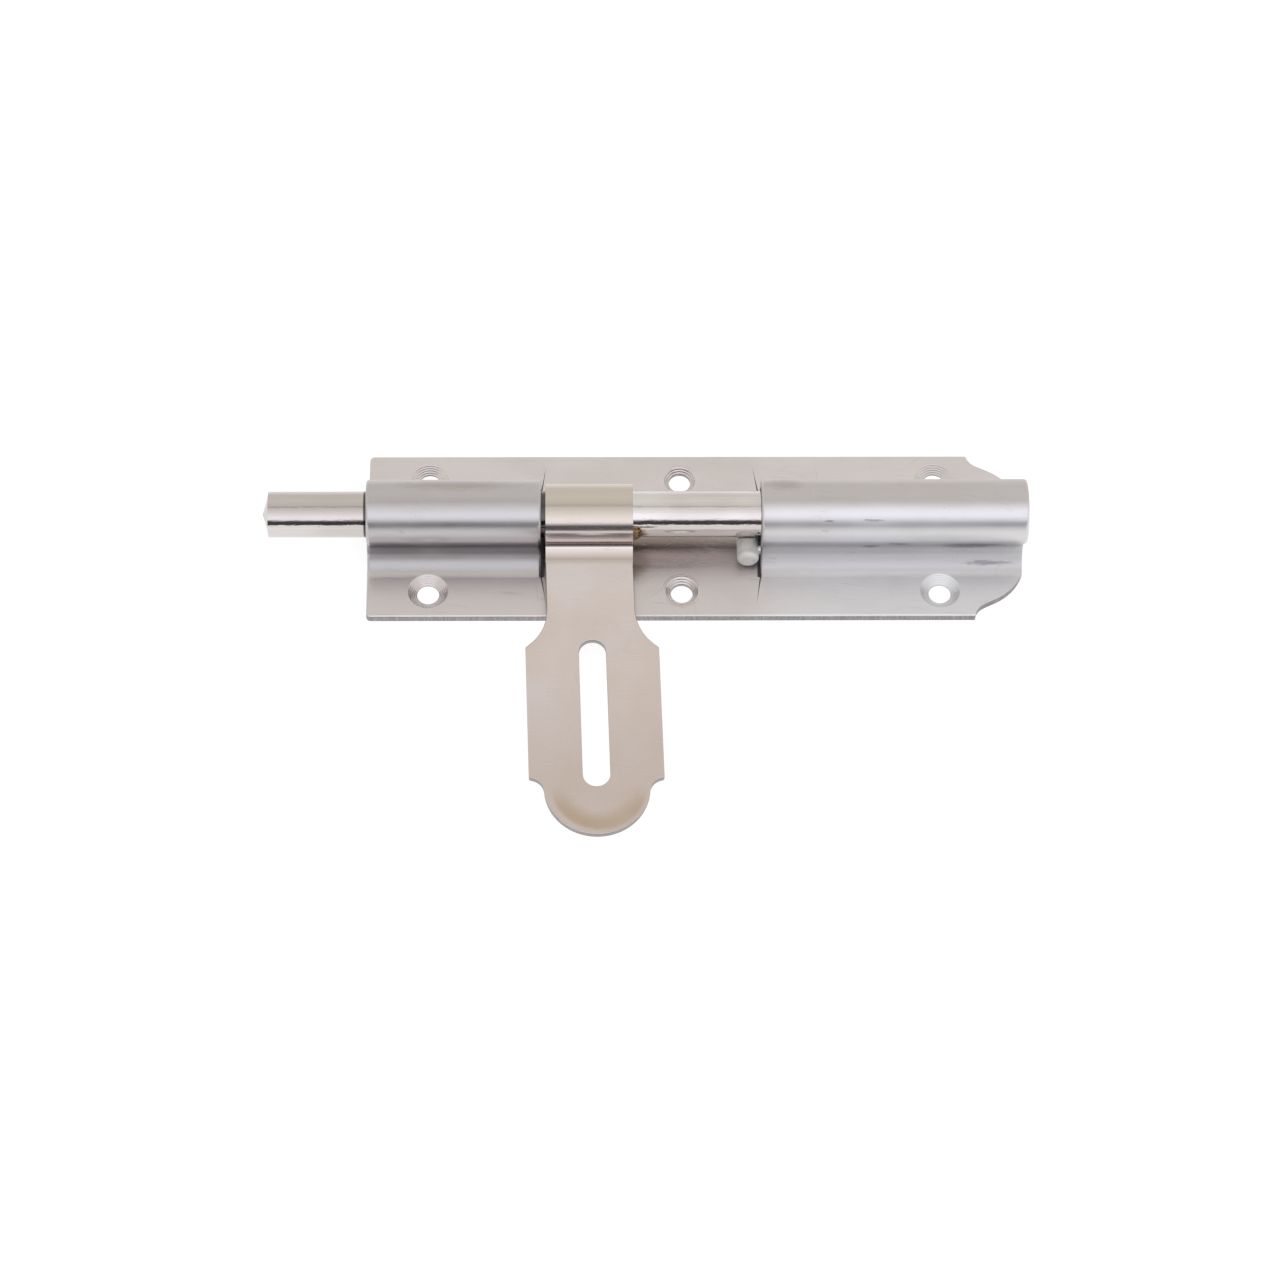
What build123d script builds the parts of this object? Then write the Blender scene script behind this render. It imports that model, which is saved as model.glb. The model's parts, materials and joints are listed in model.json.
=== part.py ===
"""Padlockable barrel bolt: pressed sheet body, round bolt, slotted hasp and stop stud.

Frame: origin at the centre of the body plate's back face, +X along the bolt away from
its free end, +Y away from the hasp, +Z out of the door. All sizes are in millimetres.
"""
from build123d import *
from math import acos, asin, cos, degrees, radians, sin, sqrt, tan
import os

# ---- body: one stainless sheet with two arches pressed up out of it ----
plate_length = 150.0
plate_width = 44.6
sheet = 1.8
plate_corner_r = 1.0
front_housing_length = 39.6
rear_housing_length = 60.5
bolt_clearance = 0.45
arch_rise = 0.65
arch_foot_r = 4.9
end_edge_r = 0.7
rear_set_back = 0.85
slit_gap = 0.7
crease_reach = 7.4
crease_drift = 1.1
crease_width = 0.7
crease_depth = 0.35
crease_fade = 0.1

# ---- ogee at the plate's rear corners ----
ogee_round_r = 13.25
ogee_round_drop = 16.3
ogee_slope = 27.0
ogee_flat = 3.0
ogee_hollow_r = 4.0

# ---- screw holes ----
hole_d = 4.95
hole_row_spacing = 30.7
front_hole_x = 13.9
middle_hole_x = 71.5
rear_hole_x = 130.25
corner_sink_d = 9.1
corner_sink_land = 0.2
middle_sink_d = 7.4

# ---- bolt ----
rod_d = 10.5
rod_height = 10.2
rod_throw = 23.6
rod_length = 148.0
nose_cone = 1.4
tail_chamfer = 0.6

# ---- hasp: a strap folded round the bolt, with a slotted blade ----
strap = 1.4
knuckle_clearance = 0.68
knuckle_drop = 0.66
knuckle_width = 19.8
knuckle_gap = 1.0
strap_end_gap = 0.3
neck_r = 5.0
neck_angle = 10.8
neck_slope = 51.0
neck_lap = 3.0
neck_crossing = 44.4
# lengths down the blade start where the neck's bend ends
blade_reach = 68.55
blade_width = 30.0
blade_skew = 1.45
shoulder_start = 21.75
shoulder_r = 12.0
round_end_r = 11.75
notch_r = 3.3
blade_corner_r = 0.6
blade_edge_r = 0.25
slot_start = 19.95
slot_end = 56.7
slot_width = 6.1

# ---- stop stud at the mouth of the rear housing ----
stud_d = 5.0
stud_drop = 5.3
stud_proud = 2.0
stud_rod_clearance = 0.3
stud_mouth_gap = 0.4
stud_edge_r = 1.2

# ---- welds ----
tack_r = 2.6
tack_proud = 1.25
tack_angle = 3.0
tack_rod_gap = 0.08
stud_weld_r = 1.3

# ---- values that follow from the sizes above ----
x_front = -plate_length / 2
x_rear = plate_length / 2
half_width = plate_width / 2
front_mouth = x_front + front_housing_length
rear_mouth = x_rear - rear_housing_length
rod_r = rod_d / 2
arch_inner_r = rod_r + bolt_clearance
arch_outer_r = arch_inner_r + sheet
arch_z = rod_height + arch_rise
foot_z = sheet + arch_foot_r
arch_undercut = degrees(asin((arch_z - foot_z) / (arch_outer_r + arch_foot_r)))
arch_foot = (arch_outer_r + arch_foot_r) * cos(radians(arch_undercut))
arch_top = arch_z + arch_outer_r
flange_rear = x_rear - rear_set_back
knuckle_inner_r = rod_r + knuckle_clearance
knuckle_outer_r = knuckle_inner_r + strap
knuckle_z = rod_height - knuckle_drop
knuckle_front = front_mouth + knuckle_gap
knuckle_rear = knuckle_front + knuckle_width
knuckle_mid = (knuckle_front + knuckle_rear) / 2
stud_x = rear_mouth - stud_mouth_gap - stud_d / 2
stud_z = rod_height - stud_drop
stud_reach = arch_outer_r + stud_proud
# lengths that only tools need: a cutter as long as anything, its overrun, a matching tolerance
overall = 2 * plate_length
spare = 1.0
near = 0.01


def neck_centre():
    """Centre (Y, Z) of the bend that carries the strap from the blade up to the knuckle."""
    below = radians(neck_angle)
    lean = radians(neck_slope)
    groove_y = -knuckle_outer_r * cos(below)
    groove_z = knuckle_z - knuckle_outer_r * sin(below)
    return groove_y - neck_r * sin(lean), groove_z + neck_r * cos(lean)


def blade_tilt():
    """Angle in degrees at which the blade's tip just reaches the back plane z = 0."""
    # centre_z = (neck_r + strap) * cos(tilt) + blade_reach * sin(tilt)
    centre_z = neck_centre()[1]
    reach = sqrt((neck_r + strap)**2 + blade_reach**2)
    lean = degrees(acos(centre_z / reach))
    return degrees(acos((neck_r + strap) / reach)) - lean


def section_plane(x):
    """Cross-section plane at x, with local axes (Y, Z) and its normal along +X."""
    return Plane(origin=(x, 0, 0), x_dir=(0, 1, 0), z_dir=(1, 0, 0))


def along_x(face, x_start, length):
    """Extrude a (Y, Z) face along +X."""
    return extrude(section_plane(x_start) * face, amount=length)


def block(x_a, x_b, y_a, y_b, z_a, z_b):
    """Axis-aligned box from its two corners."""
    centre = ((x_a + x_b) / 2, (y_a + y_b) / 2, (z_a + z_b) / 2)
    return Pos(*centre) * Box(abs(x_b - x_a), abs(y_b - y_a), abs(z_b - z_a))


# ---------------------------------------------------------------- body plate
def ogee_points():
    """Points of the rear corner on the +Y side, from the end line to the long edge."""
    a = radians(ogee_slope)
    round_x = x_rear - ogee_round_r
    round_y = half_width - ogee_round_drop
    first = acos((flange_rear - round_x) / ogee_round_r)
    round_start = (flange_rear, round_y + ogee_round_r * sin(first))
    b = (first + radians(90 - ogee_slope)) / 2
    round_mid = (round_x + ogee_round_r * cos(b), round_y + ogee_round_r * sin(b))
    round_end = (round_x + ogee_round_r * sin(a), round_y + ogee_round_r * cos(a))
    hollow_start = (round_end[0] - ogee_flat * cos(a), round_end[1] + ogee_flat * sin(a))
    centre = (hollow_start[0] + ogee_hollow_r * sin(a), hollow_start[1] + ogee_hollow_r * cos(a))
    rise = centre[1] - half_width
    hollow_end = (centre[0] - sqrt(ogee_hollow_r**2 - rise**2), half_width)
    mid_x = (hollow_start[0] + hollow_end[0]) / 2 - centre[0]
    mid_y = (hollow_start[1] + hollow_end[1]) / 2 - centre[1]
    scale_up = ogee_hollow_r / sqrt(mid_x**2 + mid_y**2)
    hollow_mid = (centre[0] + mid_x * scale_up, centre[1] + mid_y * scale_up)
    return round_start, round_mid, round_end, hollow_start, hollow_mid, hollow_end


def mirrored(point):
    """The same point on the -Y side."""
    return (point[0], -point[1])


def plate_outline():
    """Plan outline: square front corners, an ogee at each rear corner."""
    start, mid, end, hollow_a, hollow_mid, hollow_b = ogee_points()
    upper = [ThreePointArc(start, mid, end)]
    upper.append(Line(end, hollow_a))
    upper.append(ThreePointArc(hollow_a, hollow_mid, hollow_b))
    upper.append(Line(hollow_b, (x_front, half_width)))
    lower = [ThreePointArc(mirrored(start), mirrored(mid), mirrored(end))]
    lower.append(Line(mirrored(end), mirrored(hollow_a)))
    lower.append(ThreePointArc(mirrored(hollow_a), mirrored(hollow_mid), mirrored(hollow_b)))
    lower.append(Line(mirrored(hollow_b), (x_front, -half_width)))
    front = Line((x_front, half_width), (x_front, -half_width))
    rear = Line(mirrored(start), start)
    outline = make_face(upper + lower + [front, rear])
    return fillet(outline.vertices().group_by(Axis.X)[0], plate_corner_r)


def crest_section():
    """The pressed sheet round the bolt, down to where it turns outward on each side."""
    turn = 180 + 2 * arch_undercut
    edges = [CenterArc((0, arch_z), arch_outer_r, -arch_undercut, turn),
             CenterArc((0, arch_z), arch_inner_r, -arch_undercut, turn)]
    for angle in (radians(-arch_undercut), radians(180 + arch_undercut)):
        inside = (arch_inner_r * cos(angle), arch_z + arch_inner_r * sin(angle))
        outside = (arch_outer_r * cos(angle), arch_z + arch_outer_r * sin(angle))
        edges.append(Line(inside, outside))
    return make_face(edges)


def arch_section():
    """The pressed sheet across one housing: two feet that flow into an arch over the bolt."""
    bend_r = arch_foot_r + sheet
    turn = 180 + 2 * arch_undercut
    bend = 90 + arch_undercut
    edges = [
        Line((arch_foot, 0), (arch_foot, sheet)),
        CenterArc((arch_foot, foot_z), arch_foot_r, 270 - bend, bend),
        CenterArc((0, arch_z), arch_outer_r, -arch_undercut, turn),
        CenterArc((-arch_foot, foot_z), arch_foot_r, 270, bend),
        Line((-arch_foot, sheet), (-arch_foot, 0)),
        CenterArc((-arch_foot, foot_z), bend_r, 270, bend),
        CenterArc((0, arch_z), arch_inner_r, -arch_undercut, turn),
        CenterArc((arch_foot, foot_z), bend_r, 270 - bend, bend),
    ]
    return make_face(edges)


def crease(mouth, toward, side):
    """Shallow V that runs from the end of a slit out across the flange and dies away."""
    tip_x = mouth + toward * crease_drift
    wide = crease_width / 2
    tip_y = side * (arch_foot + crease_reach)
    start = Plane(origin=(mouth, side * arch_foot, sheet), x_dir=(1, 0, 0), z_dir=(0, side, 0))
    end = Plane(origin=(tip_x, tip_y, sheet), x_dir=(1, 0, 0), z_dir=(0, side, 0))
    down = -1 if start.y_dir.Z > 0 else 1
    deep = down * crease_depth
    left = -wide * crease_fade
    right = wide * crease_fade
    big = make_face(Polyline((-wide, -deep), (wide, -deep), (0, deep), close=True))
    small = make_face(Polyline((left, -deep), (right, -deep), (0, deep * crease_fade), close=True))
    return loft([start * big, end * small])


def countersunk_hole(x, y, sink_d, land):
    """Cutter for a screw hole: bore, cone and the cutter's own path above the sheet."""
    bore = Pos(x, y, sheet / 2) * Cylinder(hole_d / 2, 4 * sheet)
    cone = Pos(x, y, (land + sheet) / 2) * Cone(hole_d / 2, sink_d / 2, sheet - land)
    path = Pos(x, y, sheet + sheet / 2) * Cylinder(sink_d / 2, sheet)
    return bore + cone + path


def hole_places():
    """Every screw hole as (x, y, sink diameter, land)."""
    middle_land = sheet - (middle_sink_d - hole_d) / 2
    row = hole_row_spacing / 2
    places = []
    for side in (-1, 1):
        places.append((x_front + front_hole_x, side * row, corner_sink_d, corner_sink_land))
        places.append((x_front + middle_hole_x, side * row, middle_sink_d, middle_land))
        places.append((x_front + rear_hole_x, side * row, corner_sink_d, corner_sink_land))
    return places


def make_body_plate():
    outline = plate_outline()
    body = extrude(outline, amount=sheet)
    body -= block(x_front - spare, front_mouth + slit_gap, -arch_foot, arch_foot, -spare, sheet + spare)
    body -= block(rear_mouth - slit_gap, x_rear + spare, -arch_foot, arch_foot, -spare, sheet + spare)
    arches = along_x(arch_section(), x_front, front_housing_length)
    arches += along_x(arch_section(), rear_mouth, rear_housing_length)
    body += arches & extrude(outline, amount=arch_top + spare)
    body += along_x(crest_section(), rear_mouth, rear_housing_length)
    mouths = []
    for x in (x_front, front_mouth, rear_mouth, x_rear):
        for edge in body.edges().filter_by_position(Axis.X, x - near, x + near):
            middle = edge.position_at(0.5)
            if abs(sqrt(middle.Y**2 + (middle.Z - arch_z)**2) - arch_outer_r) < near:
                mouths.append(edge)
    body = fillet(mouths, end_edge_r)
    for x, y, sink_d, land in hole_places():
        body -= countersunk_hole(x, y, sink_d, land)
    for side in (-1, 1):
        body -= crease(front_mouth, 1, side)
        body -= crease(rear_mouth, -1, side)
    return body


# ---------------------------------------------------------------- bolt
def make_bolt_rod():
    tip = x_front - rod_throw
    shank_start = tip + nose_cone
    shank_length = rod_length - nose_cone
    axis = section_plane(shank_start)
    shank = extrude(axis * Pos(0, rod_height) * Circle(rod_r), amount=shank_length)
    tail = shank.edges().sort_by(Axis.X)[-1]
    shank = chamfer(tail, tail_chamfer)
    profile = Polyline(
        (tip, 0, rod_height),
        (shank_start, 0, rod_height),
        (shank_start, 0, rod_height + rod_r),
        close=True,
    )
    nose = revolve(make_face(profile), Axis((0, 0, rod_height), (1, 0, 0)), 360)
    return shank + nose


# ---------------------------------------------------------------- hasp
def knuckle_section():
    """The strap's turn round the bolt, from the neck over the top to its free end."""
    gap = degrees(strap_end_gap / knuckle_outer_r)
    under_neck = degrees(strap / cos(radians(neck_crossing)) / knuckle_outer_r)
    start = 180 + neck_angle + under_neck + gap
    turn = 360 - gap
    a = radians(start)
    b = radians(start + turn)
    inner = CenterArc((0, 0), knuckle_inner_r, start, turn)
    outer = CenterArc((0, 0), knuckle_outer_r, start, turn)
    free_end = Line((knuckle_inner_r * cos(a), knuckle_inner_r * sin(a)),
                    (knuckle_outer_r * cos(a), knuckle_outer_r * sin(a)))
    seat = Line((knuckle_inner_r * cos(b), knuckle_inner_r * sin(b)),
                (knuckle_outer_r * cos(b), knuckle_outer_r * sin(b)))
    return Pos(0, knuckle_z) * make_face([inner, outer, free_end, seat])


def neck_section(tilt):
    """The strap's bend between the blade and the knuckle, run a little way into the knuckle."""
    start = tilt - 90
    turn = neck_slope - tilt + neck_lap
    a = radians(start)
    b = radians(start + turn)
    outer_r = neck_r + strap
    upper = CenterArc((0, 0), neck_r, start, turn)
    lower = CenterArc((0, 0), outer_r, start, turn)
    foot = Line((neck_r * cos(a), neck_r * sin(a)), (outer_r * cos(a), outer_r * sin(a)))
    head = Line((neck_r * cos(b), neck_r * sin(b)), (outer_r * cos(b), outer_r * sin(b)))
    return Pos(*neck_centre()) * make_face([upper, lower, foot, head])


def skewed(across, down):
    """A blade point from its distance off the centre line and down the blade."""
    return (across + down * tan(radians(blade_skew)), down)


def notch_places():
    """Centre down the blade of the notch, and where its arc meets the round end's."""
    wide = blade_width / 2
    end_centre = blade_reach - round_end_r
    between = round_end_r + notch_r
    notch_centre = end_centre + sqrt(between**2 - wide**2)
    share = round_end_r / between
    meeting = (wide * share, end_centre + (notch_centre - end_centre) * share)
    return notch_centre, meeting


def blade_side(side):
    """One long side of the blade, from the bolt to the start of the round end."""
    neck = knuckle_width / 2
    wide = blade_width / 2
    drop = sqrt(shoulder_r**2 - (shoulder_r - (wide - neck))**2)
    neck_end = shoulder_start - drop
    turn = acos((shoulder_r - (wide - neck)) / shoulder_r) / 2
    shoulder_mid = (neck + shoulder_r * (1 - cos(turn)), neck_end + shoulder_r * sin(turn))
    notch_centre, meeting = notch_places()
    notch_start = notch_centre - notch_r
    # the notch arc runs from straight up the blade to the point where the round end takes over
    bend = asin((notch_centre - meeting[1]) / notch_r)
    halfway = (radians(90) + bend) / 2
    notch_mid = (wide - notch_r * cos(halfway), notch_centre - notch_r * sin(halfway))
    points = [(neck, 0), (neck, neck_end), shoulder_mid, (wide, shoulder_start),
              (wide, notch_start), notch_mid, meeting]
    root, tangent, mid, corner, heel, hollow, end = [skewed(side * a, d) for a, d in points]
    return [Line(root, tangent), ThreePointArc(tangent, mid, corner), Line(corner, heel),
            ThreePointArc(heel, hollow, end)]


def blade_outline():
    left = blade_side(-1)
    right = blade_side(1)
    top = Line(skewed(-knuckle_width / 2, 0), skewed(knuckle_width / 2, 0))
    notch_centre, (end_half, end_down) = notch_places()
    nose = ThreePointArc(skewed(-end_half, end_down), skewed(0, blade_reach), skewed(end_half, end_down))
    face = make_face(left + right + [top, nose])
    corners = []
    for down in (shoulder_start, notch_centre - notch_r):
        corners += [v for v in face.vertices() if abs(v.Y - down) < near and abs(v.X) > knuckle_width / 2]
    face = fillet(corners, blade_corner_r)
    half = slot_width / 2
    a = slot_start + half
    b = slot_end - half
    slot = make_face([
        Line(skewed(-half, a), skewed(-half, b)),
        ThreePointArc(skewed(-half, b), skewed(0, slot_end), skewed(half, b)),
        Line(skewed(half, b), skewed(half, a)),
        ThreePointArc(skewed(half, a), skewed(0, slot_start), skewed(-half, a)),
    ])
    return face - slot


def make_hasp():
    tilt = blade_tilt()
    a = radians(tilt)
    loop = along_x(knuckle_section(), knuckle_front, knuckle_width)
    loop += along_x(neck_section(tilt), knuckle_front, knuckle_width)
    centre_y, centre_z = neck_centre()
    face_y = centre_y + neck_r * sin(a)
    face_z = centre_z - neck_r * cos(a)
    plane = Plane(origin=(knuckle_mid, face_y, face_z), x_dir=(1, 0, 0), z_dir=(0, sin(a), -cos(a)))
    blade = extrude(plane * blade_outline(), amount=strap)
    front_edges = []
    for edge in blade.edges():
        middle = plane.to_local_coords(edge.position_at(0.5))
        if abs(middle.Z) < near and middle.Y > near:
            front_edges.append(edge)
    return loop + fillet(front_edges, blade_edge_r)


# ---------------------------------------------------------------- stop stud and welds
def make_stop_stud():
    across = Plane(origin=(stud_x, 0, stud_z), x_dir=(1, 0, 0), z_dir=(0, -1, 0))
    stud = extrude(across * Circle(stud_d / 2), amount=stud_reach)
    stud = fillet(stud.edges().sort_by(Axis.Y)[0], stud_edge_r)
    room = along_x(Pos(0, rod_height) * Circle(rod_r + stud_rod_clearance), -overall, 2 * overall)
    under_rod = block(stud_x - stud_d, stud_x + stud_d, -rod_r / 2, stud_d, -spare, rod_height)
    return stud - room - under_rod


def make_hasp_tack_weld():
    """Domed bead on the -Y side of the bolt, against the knuckle's rear face."""
    a = radians(tack_angle)
    middle = rod_r + tack_proud - tack_r
    bead = Pos(knuckle_rear, -middle * cos(a), rod_height - middle * sin(a)) * Rot(0, 0, 180) * Sphere(tack_r)
    room = along_x(Pos(0, rod_height) * Circle(rod_r + tack_rod_gap), -overall, 2 * overall)
    hidden = block(knuckle_mid, knuckle_rear, -overall, overall, -overall, overall)
    return bead - room - hidden


def make_stop_stud_weld(stud):
    """Bead in the corner between the stud's rear side and the leg's front edge."""
    middle_r = arch_foot_r + sheet / 2
    leg_middle = arch_foot - sqrt(middle_r**2 - (foot_z - stud_z)**2)
    bead = Pos(rear_mouth - stud_mouth_gap / 2, -leg_middle, stud_z) * Sphere(stud_weld_r)
    bead &= block(stud_x, rear_mouth, -overall, overall, -overall, overall)
    return bead - stud


def main():
    os.makedirs("parts", exist_ok=True)
    stop_stud = make_stop_stud()
    nodes = {
        "body_plate": make_body_plate(),
        "bolt_rod": make_bolt_rod(),
        "hasp": make_hasp(),
        "hasp_tack_weld": make_hasp_tack_weld(),
        "stop_stud": stop_stud,
        "stop_stud_weld": make_stop_stud_weld(stop_stud),
    }
    for name, shape in nodes.items():
        export_step(shape, "parts/" + name + ".step")


main()
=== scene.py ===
import json
import math

import bpy
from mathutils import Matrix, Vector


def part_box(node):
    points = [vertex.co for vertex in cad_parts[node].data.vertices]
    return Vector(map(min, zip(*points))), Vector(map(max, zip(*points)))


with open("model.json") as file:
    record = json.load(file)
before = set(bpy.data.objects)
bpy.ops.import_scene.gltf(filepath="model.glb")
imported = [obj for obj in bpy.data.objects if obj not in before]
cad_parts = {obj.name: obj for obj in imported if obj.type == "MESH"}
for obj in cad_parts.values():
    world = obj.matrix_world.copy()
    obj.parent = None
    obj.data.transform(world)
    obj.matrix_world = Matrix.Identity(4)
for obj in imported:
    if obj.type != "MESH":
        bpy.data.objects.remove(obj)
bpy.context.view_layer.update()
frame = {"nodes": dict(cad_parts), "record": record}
nodes = frame["nodes"]
scene = bpy.context.scene

MM = 0.001

# Places on the object, in metres, in the frame's own axes.
rod_low, rod_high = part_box("bolt_rod")
hasp_low, hasp_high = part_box("hasp")
stud_low, stud_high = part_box("stop_stud")
tack_low, tack_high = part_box("hasp_tack_weld")
rod_axis_z = (rod_low.z + rod_high.z) / 2
stud_middle = (stud_low + stud_high) / 2
tack_middle = (tack_low + tack_high) / 2

# The record's mounts give the screw holes: three along each of two rows.
mounts = {mount["name"]: mount for mount in frame["record"]["mounts"]}
corners, middles = mounts["corner_screw_holes"], mounts["middle_screw_holes"]
corner_reach = corners["dims"]["spacing_x_mm"] / 2 * MM
corners_x, middles_x = corners["pos_m"][0], middles["pos_m"][0]
hole_xs = (corners_x - corner_reach, middles_x, corners_x + corner_reach)
hole_row_y = corners["dims"]["spacing_y_mm"] / 2 * MM

# The arches' mouths: the front arch runs from the plate's end to the front mouth.
outer_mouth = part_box("body_plate")[0].x
front_mouth, rear_mouth = -35.4 * MM, 14.5 * MM

# Sizes and places that neither the boxes nor the record give.
sheet = 1.8 * MM
sink_r = 4.55 * MM
nose_cone = 1.4 * MM
blade_end_r = 11.75 * MM
blade_top_z = 5.9 * MM
fold_y, fold_z = -7.2 * MM, 8.17 * MM


# ---------------------------------------------------------------- node helpers


class Nodes:
    """A node tree with short calls for the few kinds of node used here."""

    def __init__(self, tree):
        self.tree = tree

    def add(self, kind, **settings):
        node = self.tree.nodes.new(kind)
        for name, value in settings.items():
            setattr(node, name, value)
        return node

    def join(self, value, socket):
        """A number, a colour or another node's output goes into a socket."""
        if isinstance(value, bpy.types.NodeSocket):
            self.tree.links.new(value, socket)
        else:
            socket.default_value = value

    def math(self, operation, a, b=0.0, clamp=False):
        node = self.add("ShaderNodeMath", operation=operation, use_clamp=clamp)
        self.join(a, node.inputs[0])
        self.join(b, node.inputs[1])
        return node.outputs[0]

    def times(self, *values):
        """The product of two or more values."""
        result = values[0]
        for value in values[1:]:
            result = self.math("MULTIPLY", result, value)
        return result

    def plus(self, *values):
        """The sum of two or more values."""
        result = values[0]
        for value in values[1:]:
            result = self.math("ADD", result, value)
        return result

    def strongest(self, masks):
        """The largest of several masks."""
        result = masks[0]
        for mask in masks[1:]:
            result = self.math("MAXIMUM", result, mask)
        return result

    def absolute(self, value):
        return self.math("ABSOLUTE", value)

    def vector(self, operation, a, b):
        node = self.add("ShaderNodeVectorMath", operation=operation)
        self.join(a, node.inputs[0])
        self.join(b, node.inputs[1])
        return node.outputs["Value" if operation == "DISTANCE" else "Vector"]

    def split(self, vector):
        """The x, y and z of a vector."""
        node = self.add("ShaderNodeSeparateXYZ")
        self.join(vector, node.inputs[0])
        return node.outputs

    def remap(self, value, low, high, to_low=0.0, to_high=1.0, smooth=True):
        """The value carried from one range to another, and held at the range's ends."""
        kind = "SMOOTHSTEP" if smooth else "LINEAR"
        node = self.add("ShaderNodeMapRange", interpolation_type=kind, clamp=True)
        settings = (value, low, high, to_low, to_high)
        for socket, setting in zip(node.inputs, settings):
            self.join(setting, socket)
        return node.outputs[0]

    def mix(self, factor, a, b, blend="MIX"):
        """Two colours mixed. The node keeps its colours in sockets 6 and 7, and its result in 2."""
        node = self.add("ShaderNodeMix", data_type="RGBA", blend_type=blend)
        self.join(factor, node.inputs["Factor"])
        self.join(a, node.inputs[6])
        self.join(b, node.inputs[7])
        return node.outputs[2]

    def tint(self, colour, mask, strength, overlay):
        """A colour mixed toward another where the mask is on, for stains and for painted shade alike.
        """
        return self.mix(self.times(mask, strength), colour, overlay + (1,))

    def noise(self, coordinates, lengths, detail=2.0, rough=0.5):
        """Noise with features of these lengths, in millimetres, along x, y and z."""
        stretch = tuple(1 / (length * MM) for length in lengths)
        node = self.add("ShaderNodeTexNoise", noise_dimensions="3D")
        self.join(self.vector("MULTIPLY", coordinates, stretch), node.inputs["Vector"])
        node.inputs["Scale"].default_value = 1.0
        node.inputs["Detail"].default_value = detail
        node.inputs["Roughness"].default_value = rough
        return node.outputs["Fac"]

    def turned(self, coordinates, angle):
        """The coordinates turned about z, for marks that run at an angle."""
        node = self.add("ShaderNodeVectorRotate", rotation_type="Z_AXIS")
        self.join(coordinates, node.inputs["Vector"])
        node.inputs["Angle"].default_value = math.radians(angle)
        return node.outputs[0]

    def bump(self, height, depth, strength, normal=None):
        """A height from 0 to 1 stands depth millimetres high."""
        node = self.add("ShaderNodeBump")
        self.join(height, node.inputs["Height"])
        node.inputs["Strength"].default_value = strength
        node.inputs["Distance"].default_value = depth * MM
        if normal is not None:
            self.join(normal, node.inputs["Normal"])
        return node.outputs[0]


class Metal(Nodes):
    """A material with one metal shader, and the object's own coordinates."""

    def __init__(self, name):
        self.material = bpy.data.materials.new(name)
        self.material.use_nodes = True
        self.material.node_tree.nodes.clear()
        super().__init__(self.material.node_tree)
        output = self.add("ShaderNodeOutputMaterial")
        self.shader = self.add("ShaderNodeBsdfPrincipled")
        self.join(self.shader.outputs[0], output.inputs["Surface"])
        self.shader.inputs["Metallic"].default_value = 1.0
        coordinates = self.add("ShaderNodeTexCoord")
        self.at = coordinates.outputs["Object"]
        self.facing = coordinates.outputs["Normal"]

    def wire(self, colour, roughness, normal):
        """The finished material, with these three going into its shader."""
        self.join(colour, self.shader.inputs["Base Color"])
        self.join(roughness, self.shader.inputs["Roughness"])
        self.join(normal, self.shader.inputs["Normal"])
        return self.material


def hairlines(n, angle, seed, threshold):
    """A few long fine scratches that run at an angle, as a mask."""
    moved = n.vector("ADD", n.turned(n.at, angle), (seed, seed * 0.37, seed * 0.71))
    lines = n.noise(moved, (14, 0.16, 0.5), detail=1.0)
    patches = n.noise(moved, (9, 6, 6), detail=0.0)
    mask = n.remap(lines, threshold, threshold + 0.05)
    return n.times(mask, n.remap(patches, 0.55, 0.68))


def ragged_patch(n, centre, half_length, half_width, raggedness):
    """A ragged patch drawn out along x round a place given in millimetres, as a mask: rub marks,
    stains and painted shade use it.
    """
    offset = n.vector("SUBTRACT", n.at, tuple(c * MM for c in centre))
    sizes = (half_length, half_width, half_width)
    scaled = n.vector("MULTIPLY", offset, tuple(1 / (size * MM) for size in sizes))
    reach = n.vector("DISTANCE", scaled, (0, 0, 0))
    grain = n.noise(n.at, (2.4, 0.28, 0.28), detail=3.0, rough=0.65)
    reach = n.plus(reach, n.times(n.math("SUBTRACT", grain, 0.5), raggedness))
    return n.remap(reach, 1.0, 0.35)


def sheet_surface(n, scratches):
    """The streaks, the scratches and the bumps that every rolled sheet here shares."""
    streaks = n.noise(n.at, (30, 0.28, 0.28), detail=3.0, rough=0.6)
    fine = n.noise(n.at, (9, 0.14, 0.14), detail=2.0, rough=0.6)
    specks = n.noise(n.at, (0.5, 0.5, 0.5), detail=2.0, rough=0.7)
    pits = n.remap(n.noise(n.at, (0.42, 0.42, 0.42), detail=0.0), 0.77, 0.82)
    ways = ((8, 0.13, 0.67), (-34, 0.57, 0.69), (81, 0.91, 0.69))
    marks = n.strongest([hairlines(n, angle, seed, threshold) for angle, seed, threshold in ways])
    marks = n.times(marks, scratches)
    normal = n.bump(streaks, 0.006, 0.12)
    normal = n.bump(fine, 0.003, 0.15, normal)
    normal = n.bump(specks, 0.006, 0.16, normal)
    normal = n.bump(pits, -0.02, 0.35, normal)
    normal = n.bump(marks, -0.015, 0.4, normal)
    return streaks, marks, normal


def sheared_edge(n, top_z):
    """Where a face stands upright and low, as the cut edge of the sheet does, as a mask."""
    upright = n.remap(n.absolute(n.split(n.facing)[2]), 0.75, 0.35)
    low = n.remap(n.split(n.at)[2], top_z + 0.2 * MM, top_z - 0.1 * MM)
    return n.times(upright, low)


def paint(node_name, material):
    """A CAD node gets a material in every slot."""
    for slot in nodes[node_name].material_slots:
        slot.material = material


# ------------------------------------------------------------- the pressed body


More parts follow.
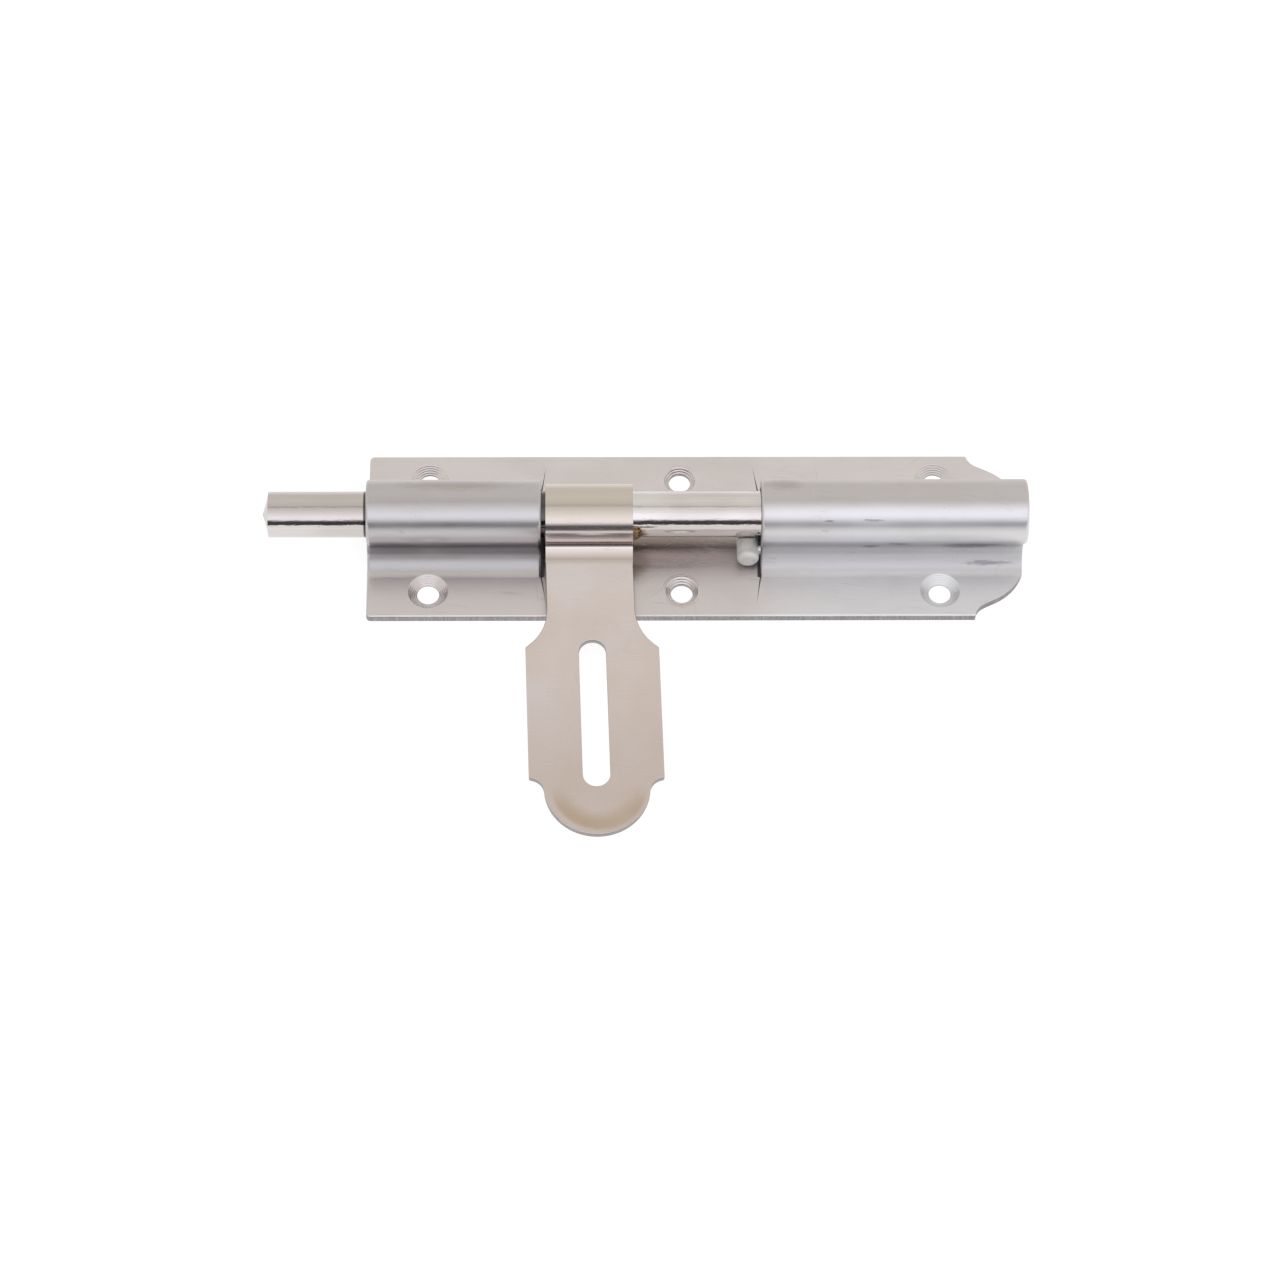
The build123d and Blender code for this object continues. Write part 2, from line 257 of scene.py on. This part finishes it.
def body_tone(n, clouds, streaks):
    """The sheet's own colour: pinkish flats, greyer arches, and a dull front arch."""
    x, y, z = n.split(n.at)
    raised = n.remap(z, sheet + 0.05 * MM, sheet + 0.5 * MM)
    rear_grey = n.times(n.remap(x, 18 * MM, 34 * MM), n.remap(y, 2 * MM, -6 * MM))
    tone = n.math("MAXIMUM", rear_grey, n.times(raised, 0.8))
    tone = n.math("ADD", tone, n.remap(clouds, 0.35, 0.65, -0.18, 0.18), clamp=True)
    colour = n.mix(tone, (0.640, 0.588, 0.570, 1), (0.612, 0.606, 0.606, 1))
    rear = n.times(n.remap(x, 8 * MM, 20 * MM), n.remap(y, 9 * MM, -9 * MM, 0.3, 1.0))
    colour = n.tint(colour, rear, 0.6, (0.76, 0.755, 0.765))
    front = n.times(n.remap(x, -8 * MM, -36 * MM), raised)
    colour = n.tint(colour, front, 0.55, (0.45, 0.435, 0.44))
    shade = n.times(n.remap(streaks, 0.3, 0.7, 0.983, 1.014), n.remap(clouds, 0.3, 0.7, 0.96, 1.03))
    return n.mix(1.0, colour, shade, "MULTIPLY")


def body_shade_and_crown_dirt(n, colour):
    """Painted shade where the arches tuck in and in their feet, and dirt over their crowns."""
    x, y, z = n.split(n.at)
    # painted shade in the crease where each arch tucks in, strongest on the front arch
    crease_shade = n.times(n.remap(z, 8.6 * MM, 7.2 * MM), n.remap(z, 4.1 * MM, 5.2 * MM),
                     n.remap(n.absolute(y), 6.2 * MM, 6.6 * MM))
    colour = n.tint(colour, crease_shade, n.remap(x, -20 * MM, 10 * MM, 0.75, 0.25), (0.20, 0.19, 0.20))
    crown = n.times(n.remap(z, 13.5 * MM, 15.0 * MM), n.remap(y, -4.2 * MM, -1.5 * MM))
    colour = n.tint(colour, crown, n.remap(x, -30 * MM, 15 * MM, 0.25, 0.5), (0.40, 0.35, 0.335))
    # painted shade in the feet of the arches, dimming their highlight
    foot_shade = n.times(n.remap(z, sheet + 0.02 * MM, sheet + 0.4 * MM),
                   n.remap(z, 4.4 * MM, 3.0 * MM))
    return n.tint(colour, foot_shade, 0.5, (0.44, 0.43, 0.44))


def body_marks(n, colour):
    """Rub marks on the rear arch, handling stains on the arches' tops, and a brown patch of painted
    shade beside the knuckle, each placed one by one.
    """
    # centre, half length and half width in millimetres, then raggedness
    rubs = (
        ((39.7, -5.7, 15.8), 2.6, 0.42, 2.2),
        ((29.7, -5.8, 15.6), 1.4, 0.3, 2.2),
        ((62.5, -6.9, 7.6), 9.5, 1.5, 1.6),
        ((45.5, -6.9, 8.3), 3.0, 0.7, 2.2),
        ((39.3, -6.9, 7.0), 2.4, 0.7, 2.2),
        ((66.5, -8.6, 3.0), 7.0, 0.75, 2.2),
    )
    stains_and_shade = (
        # painted shade: a brown patch on the plate beside the knuckle, under the bar
        ((-13.6, -7.6, 1.8), 4.2, 4.6, 0.9),
        # handling stains on the tops of the arches
        ((19.5, 3.2, 17.6), 5.5, 3.0, 1.4),
        ((-55.0, 3.0, 17.6), 17.0, 2.6, 1.5),
    )
    colour = n.tint(colour, n.strongest([ragged_patch(n, *rub) for rub in rubs]), 0.55, (0.16, 0.15, 0.155))
    stained_and_shaded = n.strongest([ragged_patch(n, *overlay) for overlay in stains_and_shade])
    return n.tint(colour, stained_and_shaded, 0.42, (0.33, 0.27, 0.235))


def countersinks(n):
    """The turned face of each screw hole, and the rings that the cutter left, as masks."""
    x, y, _ = n.split(n.at)
    folded = n.add("ShaderNodeCombineXYZ")
    n.join(x, folded.inputs[0])
    n.join(n.absolute(y), folded.inputs[1])
    nearest = n.vector("DISTANCE", folded.outputs[0], (hole_xs[0], hole_row_y, 0))
    for hole_x in hole_xs[1:]:
        distance = n.vector("DISTANCE", folded.outputs[0], (hole_x, hole_row_y, 0))
        nearest = n.math("MINIMUM", nearest, distance)
    inside = n.remap(nearest, sink_r + 0.2 * MM, sink_r - 0.15 * MM)
    ring_spacing = 0.42 * MM
    rings = n.math("SINE", n.times(nearest, 2 * math.pi / ring_spacing))
    return inside, n.times(rings, inside)


def body_roughness(n, clouds, streaks):
    """Blurrier toward the rear arch and in the feet, clear on the flat behind the bolt."""
    x, y, z = n.split(n.at)
    along = n.remap(x, -20 * MM, 16 * MM, 0.03, 0.11)
    bend = n.times(n.remap(z, sheet + 0.2 * MM, sheet + 1.0 * MM),
                   n.remap(z, 7.0 * MM, 5.0 * MM), 0.13)
    bare = n.times(n.remap(z, sheet + 0.6 * MM, sheet + 0.1 * MM),
                   n.remap(n.absolute(y), 10 * MM, 8 * MM),
                   n.remap(x, rear_mouth + 1.0 * MM, rear_mouth - 1.0 * MM), -0.12)
    grain = n.remap(streaks, 0.25, 0.75, 0.26, 0.31)
    return n.plus(grain, n.remap(clouds, 0.3, 0.7, -0.02, 0.03), along, bend, bare)


def body_steel():
    """Pressed satin sheet: clouded, stained by handling, painted shade beside the knuckle, in the
    arches' creases and feet and on the cut edges, turned countersinks.
    """
    n = Metal("satin_body_sheet")
    streaks, marks, normal = sheet_surface(n, 1.0)
    clouds = n.noise(n.at, (22, 10, 10), detail=3.0, rough=0.55)
    edge = sheared_edge(n, sheet)
    torn = n.noise(n.at, (0.35, 0.35, 3.0), detail=2.0)
    sunk, rings = countersinks(n)

    colour = body_marks(n, body_shade_and_crown_dirt(n, body_tone(n, clouds, streaks)))
    colour = n.tint(colour, marks, 0.3, (0.27, 0.25, 0.24))
    # the cut edges are dark grey: a rough sheared face, with a painted reflection of the shaded floor
    # below them
    edge_colour = n.mix(n.remap(torn, 0.35, 0.65), (0.30, 0.29, 0.29, 1), (0.40, 0.385, 0.38, 1))
    colour = n.mix(edge, colour, edge_colour)

    roughness = body_roughness(n, clouds, streaks)
    roughness = n.plus(roughness, n.times(marks, 0.12), n.times(edge, 0.2), n.times(sunk, -0.08))

    normal = n.bump(rings, 0.05, 0.45, normal)
    normal = n.bump(n.times(torn, edge), 0.05, 0.5, normal)
    return n.wire(colour, roughness, normal)


# --------------------------------------------------------------------- the hasp


def straw_band(n, clouds, end_y):
    """Heat colour that follows the blade's round end a little way in from its edge."""
    end_x = (hasp_low.x + hasp_high.x) / 2 + 1.0 * MM
    flat = n.vector("MULTIPLY", n.at, (1, 1, 0))
    reach = n.vector("DISTANCE", flat, (end_x, end_y, 0))
    band = n.times(n.remap(reach, 5.5 * MM, 9.3 * MM), n.remap(reach, 11.2 * MM, 10.0 * MM))
    lower = n.remap(n.split(n.at)[1], end_y + 1.0 * MM, end_y - 6.5 * MM)
    return n.times(band, lower, n.remap(clouds, 0.25, 0.6, 0.7, 1.0))


def hasp_steel():
    """Brighter strap with a warm cast, straw colour inside the round end, painted shade in the fold,
    below the neck and on the rough cut edges.
    """
    n = Metal("satin_hasp_sheet")
    streaks, marks, normal = sheet_surface(n, 0.6)
    clouds = n.noise(n.at, (14, 18, 18), detail=3.0, rough=0.5)
    _, y, z = n.split(n.at)
    end_y = hasp_low.y + blade_end_r
    edge = sheared_edge(n, blade_top_z)

    warm, pale = (0.640, 0.555, 0.510, 1), (0.665, 0.595, 0.580, 1)
    colour = n.mix(n.remap(clouds, 0.35, 0.65), warm, pale)
    colour = n.mix(1.0, colour, n.remap(streaks, 0.3, 0.7, 0.987, 1.01), "MULTIPLY")
    colour = n.tint(colour, straw_band(n, clouds, end_y), 0.9, (0.46, 0.345, 0.225))
    # the blade darkens toward its end and is palest beside the plate
    colour = n.tint(colour, n.remap(y, -36 * MM, end_y + 2 * MM), 0.42, (0.50, 0.41, 0.35))
    colour = n.tint(colour, n.remap(y, -27 * MM, -15 * MM), 0.5, (0.70, 0.645, 0.625))
    # the knuckle's crown is stained beige; the strap below its neck has a beige painted shade
    colour = n.tint(colour, n.remap(z, 12.5 * MM, 15.5 * MM), 0.8, (0.53, 0.475, 0.40))
    shade_below_neck = n.times(n.remap(z, 8.0 * MM, 7.4 * MM), n.remap(y, -11.5 * MM, -10.0 * MM))
    colour = n.tint(colour, shade_below_neck, 0.6, (0.50, 0.43, 0.37))
    # painted shadow: the fold between the knuckle and its neck is drawn near black in a thin line
    fold = n.vector("DISTANCE", n.vector("MULTIPLY", n.at, (0, 1, 1)), (0, fold_y, fold_z))
    colour = n.tint(colour, n.remap(fold, 0.45 * MM, 0.2 * MM), 0.85, (0.08, 0.075, 0.075))
    # painted shade: the cut edges are drawn dark grey
    colour = n.tint(colour, edge, 1.0, (0.36, 0.345, 0.34))
    colour = n.tint(colour, marks, 0.3, (0.27, 0.25, 0.24))

    roughness = n.plus(n.remap(streaks, 0.25, 0.75, 0.155, 0.21),
                       n.remap(y, -7 * MM, -14 * MM, 0.0, 0.10),
                       n.times(marks, 0.1), n.times(edge, 0.2))
    return n.wire(colour, roughness, normal)


# ------------------------------------------------------ the bar, stud and welds


def bar_steel():
    """Bright drawn bar: a mirror with a slight ripple, and a heat tint by the tack weld."""
    n = Metal("bright_bar")
    ripple = n.noise(n.at, (2.6, 0.8, 0.8), detail=3.0, rough=0.55)
    draw = n.noise(n.at, (30, 0.22, 0.22), detail=2.0, rough=0.6)
    clouds = n.noise(n.at, (18, 9, 9), detail=2.0)
    dents = n.noise(n.at, (0.8, 0.5, 0.5), detail=1.0)
    x, _, z = n.split(n.at)
    colour = n.mix(n.remap(clouds, 0.35, 0.65), (0.60, 0.560, 0.535, 1), (0.67, 0.640, 0.620, 1))
    colour = n.mix(1.0, colour, n.remap(draw, 0.3, 0.7, 0.96, 1.03), "MULTIPLY")

    # the top of the free end is darker and browner, and its cone is darker
    darker_free_end_top = n.times(n.remap(x, outer_mouth + 1.5 * MM, outer_mouth),
                      n.remap(z, rod_axis_z + 1.5 * MM, rod_axis_z + 4.5 * MM))
    colour = n.tint(colour, darker_free_end_top, 0.8, (0.50, 0.455, 0.43))
    # painted shadow: a near-black ring on the bolt where it leaves each end of the front arch
    mouth_shadows = ((front_mouth + 0.5 * MM, 0.6 * MM), (outer_mouth - 0.2 * MM, 0.4 * MM))
    for ring_x, half_width in mouth_shadows:
        ring = n.absolute(n.math("SUBTRACT", x, ring_x))
        ring = n.remap(ring, half_width + 0.15 * MM, half_width - 0.15 * MM)
        colour = n.tint(colour, ring, 0.93, (0.05, 0.048, 0.05))
    cone_x = rod_low.x + nose_cone
    cone = n.remap(x, cone_x + 0.1 * MM, cone_x - 0.1 * MM)
    colour = n.tint(colour, cone, 0.75, (0.38, 0.36, 0.35))

    wander = n.times(n.noise(n.at, (1.0, 0.7, 0.7)), 1.6 * MM)
    from_weld = n.plus(n.vector("DISTANCE", n.at, tuple(tack_middle)), wander)
    straw = n.remap(from_weld, 3.6 * MM, 2.2 * MM)
    brown = n.remap(from_weld, 2.7 * MM, 1.7 * MM)
    colour = n.tint(colour, straw, 0.7, (0.36, 0.25, 0.13))
    colour = n.tint(colour, brown, 0.9, (0.10, 0.055, 0.03))

    roughness = n.plus(n.remap(draw, 0.3, 0.7, 0.05, 0.10), n.times(straw, 0.2))
    normal = n.bump(ripple, 0.05, 0.5)
    normal = n.bump(draw, 0.004, 0.25, normal)
    normal = n.bump(n.remap(dents, 0.68, 0.78), -0.03, 0.3, normal)
    return n.wire(colour, roughness, normal)


def weld_steel(name, low, middle, high):
    """Weld metal: lumpy, in bands of three colours."""
    n = Metal(name)
    lumps = n.noise(n.at, (0.7, 0.7, 0.7), detail=3.0, rough=0.6)
    bands = n.noise(n.at, (1.1, 0.8, 0.8), detail=2.0)
    ramp = n.add("ShaderNodeValToRGB")
    n.join(bands, ramp.inputs[0])
    stops = ramp.color_ramp.elements
    stops[0].position, stops[0].color = 0.34, low + (1,)
    stops[1].position, stops[1].color = 0.72, high + (1,)
    stops.new(0.50).color = middle + (1,)
    roughness = n.remap(lumps, 0.3, 0.7, 0.24, 0.42)
    return n.wire(ramp.outputs[0], roughness, n.bump(lumps, 0.12, 0.5))


def turned_steel():
    """The stop stud: dull turned steel, with faint lathe rings round its own axis."""
    n = Metal("turned_stud")
    n.shader.inputs["Metallic"].default_value = 0.6
    rings = n.add("ShaderNodeTexWave", wave_type="RINGS", rings_direction="Y")
    n.join(n.vector("SUBTRACT", n.at, tuple(stud_middle)), rings.inputs["Vector"])
    rings.inputs["Scale"].default_value = 900
    rings.inputs["Distortion"].default_value = 0.6
    rings.inputs["Detail"].default_value = 1.0
    clouds = n.noise(n.at, (2.5, 2.5, 2.5), detail=3.0)
    colour = n.mix(n.remap(clouds, 0.3, 0.7), (0.62, 0.605, 0.585, 1), (0.74, 0.735, 0.715, 1))
    roughness = n.remap(clouds, 0.3, 0.7, 0.52, 0.62)
    return n.wire(colour, roughness, n.bump(rings.outputs["Fac"], 0.006, 0.3))


# ------------------------------------------------------- floor, light, camera


def make_floor():
    """Pale paper that glows enough to stay white, with no glow in a strip under the bolt's channels:
    painted shade there.
    """
    size = 4.0
    drop = 0.05 * MM
    mesh = bpy.data.meshes.new("floor")
    corners = [(-size, -size, -drop), (size, -size, -drop), (size, size, -drop), (-size, size, -drop)]
    mesh.from_pydata(corners, [], [(0, 1, 2, 3)])
    floor = bpy.data.objects.new("floor", mesh)
    scene.collection.objects.link(floor)
    material = bpy.data.materials.new("pale_paper")
    material.use_nodes = True
    shader = material.node_tree.nodes["Principled BSDF"]
    shader.inputs["Base Color"].default_value = (0.25, 0.25, 0.25, 1)
    shader.inputs["Roughness"].default_value = 1.0
    shader.inputs["Specular IOR Level"].default_value = 0.0
    shader.inputs["Emission Color"].default_value = (1, 1, 1, 1)
    n = Nodes(material.node_tree)
    x, y, _ = n.split(n.add("ShaderNodeTexCoord").outputs["Object"])
    # painted shade: the glow is off in a strip under the arches and the bolt
    covered = n.times(n.remap(n.absolute(y), 12.4 * MM, 11.8 * MM),
                      n.remap(n.absolute(x), 74 * MM, 70 * MM))
    open_glow = 0.85
    glow = n.times(n.math("SUBTRACT", 1.0, covered), open_glow)
    n.join(glow, shader.inputs["Emission Strength"])
    mesh.materials.append(material)


def make_world():
    """A studio all round: a soft box in front, a darker low front, pale walls elsewhere."""
    world = bpy.data.worlds.new("studio")
    scene.world = world
    world.use_nodes = True
    world.node_tree.nodes.clear()
    n = Nodes(world.node_tree)
    x, y, z = n.split(n.add("ShaderNodeTexCoord").outputs["Generated"])
    turn = n.math("ARCTAN2", z, n.times(y, -1.0))
    fraction = n.remap(turn, -math.pi, math.pi, smooth=False)
    ramp = n.add("ShaderNodeValToRGB")
    n.join(fraction, ramp.inputs[0])
    # a ramp holds colours up to 1, so the levels are divided by the peak and the strength
    # puts it back
    peak = 1.6
    # colour by the angle up from the front, over the top and down the back, in degrees
    levels = (
        (-60, (1.0, 1.0, 1.0)),
        (-14, (0.95, 0.95, 0.95)),
        (-9, (0.09, 0.08, 0.08)),
        (19, (0.07, 0.07, 0.075)),
        (24, (0.60, 0.60, 0.64)),
        (29, (1.38, 1.37, 1.48)),
        (41, (1.50, 1.49, 1.60)),
        (54, (1.36, 1.35, 1.44)),
        (72, (1.10, 1.09, 1.12)),
        (88, (0.93, 0.92, 0.92)),
        (91, (0.66, 0.65, 0.62)),
        (94, (0.66, 0.64, 0.61)),
        (98, (0.88, 0.86, 0.82)),
        (124, (0.97, 0.96, 0.945)),
        (160, (0.93, 0.91, 0.88)),
        (179, (0.95, 0.94, 0.93)),
    )
    stops = ramp.color_ramp.elements
    while len(stops) < len(levels):
        stops.new(0.5)
    for stop, (angle, colour) in zip(stops, levels):
        stop.position = (angle + 180) / 360
        stop.color = tuple(c / peak for c in colour) + (1,)
    toward_side = n.remap(n.absolute(x), 0.35, 0.8)
    side_wall = n.remap(z, 0.0, 0.7, 0.55, 0.62)
    studio = n.add("ShaderNodeBackground")
    n.join(n.mix(toward_side, ramp.outputs[0], side_wall), studio.inputs["Color"])
    studio.inputs["Strength"].default_value = peak
    # behind the object the camera sees plain white; the steel reflects the studio
    plain = n.add("ShaderNodeBackground")
    plain.inputs["Color"].default_value = (1, 1, 1, 1)
    plain.inputs["Strength"].default_value = 1.05
    choose = n.add("ShaderNodeMixShader")
    n.join(n.add("ShaderNodeLightPath").outputs["Is Camera Ray"], choose.inputs[0])
    n.join(studio.outputs[0], choose.inputs[1])
    n.join(plain.outputs[0], choose.inputs[2])
    output = n.add("ShaderNodeOutputWorld")
    n.join(choose.outputs[0], output.inputs["Surface"])


def make_camera():
    """A long lens in front of the object and above it, turned a little to the right."""
    camera = bpy.data.objects.new("camera", bpy.data.cameras.new("camera"))
    scene.collection.objects.link(camera)
    camera.location = (-0.0307025, -0.5507081, 0.8030088)
    camera.rotation_euler = [math.radians(angle) for angle in (33.09098, -0.81867, -0.66990)]
    camera.data.lens = 119.38
    camera.data.sensor_width = 36
    scene.camera = camera


burnt, straw, silver = (0.03, 0.018, 0.014), (0.20, 0.11, 0.045), (0.34, 0.28, 0.22)
pale, grey, bright = (0.40, 0.38, 0.36), (0.52, 0.50, 0.48), (0.62, 0.60, 0.58)
paint("body_plate", body_steel())
paint("hasp", hasp_steel())
paint("bolt_rod", bar_steel())
paint("hasp_tack_weld", weld_steel("burnt_weld", burnt, straw, silver))
paint("stop_stud_weld", weld_steel("cleaned_weld", pale, grey, bright))
paint("stop_stud", turned_steel())
make_floor()
make_world()
make_camera()
scene.view_settings.view_transform = "Standard"
